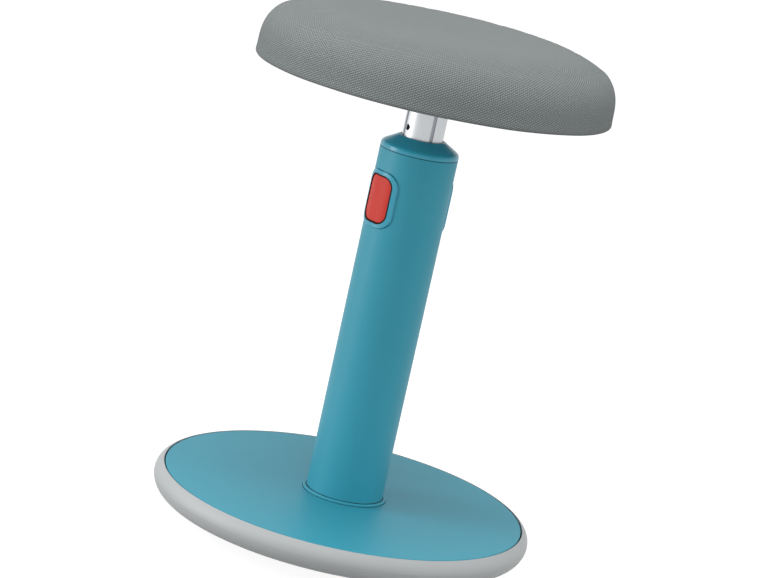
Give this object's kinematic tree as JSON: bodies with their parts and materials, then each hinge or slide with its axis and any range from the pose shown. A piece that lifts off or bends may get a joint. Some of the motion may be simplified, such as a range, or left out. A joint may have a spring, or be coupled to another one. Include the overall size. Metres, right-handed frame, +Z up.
{
  "type": "wobble stool",
  "caption": "Round padded seat on a push-button gas lift column over a weighted rocking base with a small flat foot.",
  "frame": {"origin": "middle of the flat foot under the rocking base, on the floor", "axes": "+Z up along the column, release buttons facing -X and +X"},
  "size_m": [0.38, 0.38, 0.5238],
  "materials": {
    "teal_paint": "satin powder coat",
    "teal_plastic": "satin painted moulding",
    "red_plastic": "fine satin moulding",
    "grey_rubber": "matt moulded sole",
    "black_rubber": "matt",
    "cast_weight": "rough cast, dipped black",
    "black_plastic": "fine moulded grain",
    "white_acetal": "natural acetal",
    "zinc_steel": "zinc plated",
    "black_steel": "black oxide",
    "polished_aluminium": "drawn and polished",
    "cast_aluminium": "as cast",
    "black_paint": "black satin paint",
    "bright_chrome": "hard chrome, ground",
    "grey_knit": "spacer knit",
    "seat_foam": "moulded polyurethane foam"
  },
  "bodies": {
    "base": {"rocker_sole": "grey_rubber", "foot_pad": "black_rubber", "ballast_weight": "cast_weight", "cover_support": "black_plastic", "sole_screws": "zinc_steel", "base_cover": "teal_paint", "column_socket": "black_paint", "socket_bolts": "zinc_steel", "column_collar": "teal_paint", "column_tube": "teal_paint", "column_foot_plug": "cast_aluminium", "column_bolt": "zinc_steel", "column_bolt_washer": "zinc_steel", "column_cap": "teal_plastic", "cap_wiper_ring": "black_rubber", "guide_housing": "black_plastic", "upper_bush": "white_acetal", "lower_bush": "white_acetal", "bezel_left": "teal_plastic", "bezel_right": "teal_plastic", "return_spring": "zinc_steel", "lever_pivot_pin": "zinc_steel", "release_head": "cast_aluminium", "release_head_screws": "zinc_steel", "spring_rod": "bright_chrome", "spring_piston": "zinc_steel", "rod_nut": "zinc_steel", "bump_stop": "black_rubber"},
    "seat_lift": {"lift_tube": "polished_aluminium", "tube_stop_ring": "zinc_steel", "spring_cylinder": "black_paint", "cylinder_end_guide": "black_plastic", "cylinder_spacer": "white_acetal", "top_plug": "cast_aluminium", "plug_set_screw": "black_steel", "seat_mount_plate": "black_paint", "plate_bolt": "zinc_steel", "seat_screws": "zinc_steel", "seat_insert_nuts": "zinc_steel", "seat_pan": "black_plastic", "seat_foam": "seat_foam", "seat_cover": "grey_knit", "seat_under_cover": "black_plastic", "under_cover_screws": "black_steel"},
    "left_button": {"button_left": "red_plastic"},
    "right_button": {"button_right": "red_plastic"},
    "release_train": {"release_collar": "black_plastic", "collar_pins": "zinc_steel", "push_rod": "zinc_steel"},
    "release_lever": {"release_lever": "zinc_steel"},
    "release_pin": {"release_pin": "zinc_steel"}
  },
  "joints": [
    {"name": "seat_height", "type": "slide", "parent": "base", "child": "seat_lift", "axis": [0, 0, 1], "range_m": [0, 0.22]},
    {"name": "left_button_press", "type": "slide", "parent": "base", "child": "left_button", "axis": [1, 0, 0], "range_m": [0, 0.003], "stiffness_N_per_m": 600, "springref_m": -0.012},
    {"name": "right_button_press", "type": "slide", "parent": "base", "child": "right_button", "axis": [-1, 0, 0], "range_m": [0, 0.003]},
    {"name": "release_train_drop", "type": "slide", "parent": "base", "child": "release_train", "axis": [0, 0, -1], "range_m": [0, 0.003], "deforming": ["return_spring"]},
    {"name": "release_lever_swing", "type": "hinge", "parent": "base", "child": "release_lever", "pos_m": [0, 0.012, 0.07004], "axis": [-1, 0, 0], "range_deg": [0, 9.55]},
    {"name": "release_pin_lift", "type": "slide", "parent": "base", "child": "release_pin", "axis": [0, 0, 1], "range_m": [0, 0.002]}
  ],
  "couplings": [
    {"joint": "right_button_press", "follows": "left_button_press", "ratio": 1},
    {"joint": "release_train_drop", "follows": "left_button_press", "ratio": 1},
    {"joint": "release_lever_swing", "follows": "left_button_press", "rad_per_m": 55.556},
    {"joint": "release_pin_lift", "follows": "left_button_press", "ratio": 0.6666}
  ]
}
